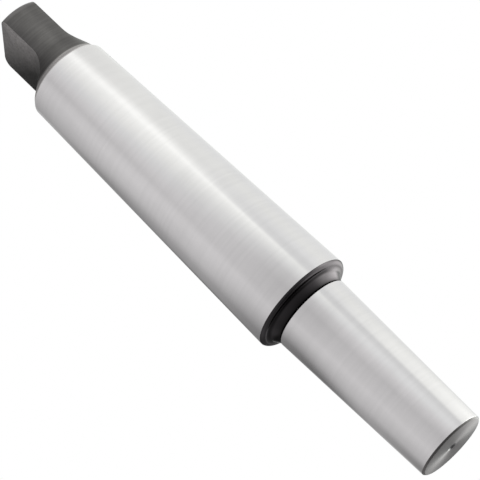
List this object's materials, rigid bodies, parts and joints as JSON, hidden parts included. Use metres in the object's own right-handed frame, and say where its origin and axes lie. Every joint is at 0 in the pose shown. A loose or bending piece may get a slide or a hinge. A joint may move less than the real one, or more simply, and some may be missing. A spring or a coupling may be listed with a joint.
{
  "type": "morse taper arbor",
  "caption": "Solid steel arbor with a long shank taper and flat drive tang at one end and a short taper that carries a drill chuck at the other.",
  "frame": {"origin": "centre of the flat end face of the chuck taper, which the arbor stands on", "axes": "+Z along the axis of the arbor, from the chuck taper up to the tang; the two flats of the tang face +X and -X"},
  "size_m": [0.0316, 0.0316, 0.181],
  "materials": {
    "ground_steel": "ground bright steel on the two tapers; blackened, hardened steel on the shoulder and the tang; fine turned steel on the end face"
  },
  "bodies": {
    "root": {"arbor": "ground_steel"}
  },
  "joints": []
}
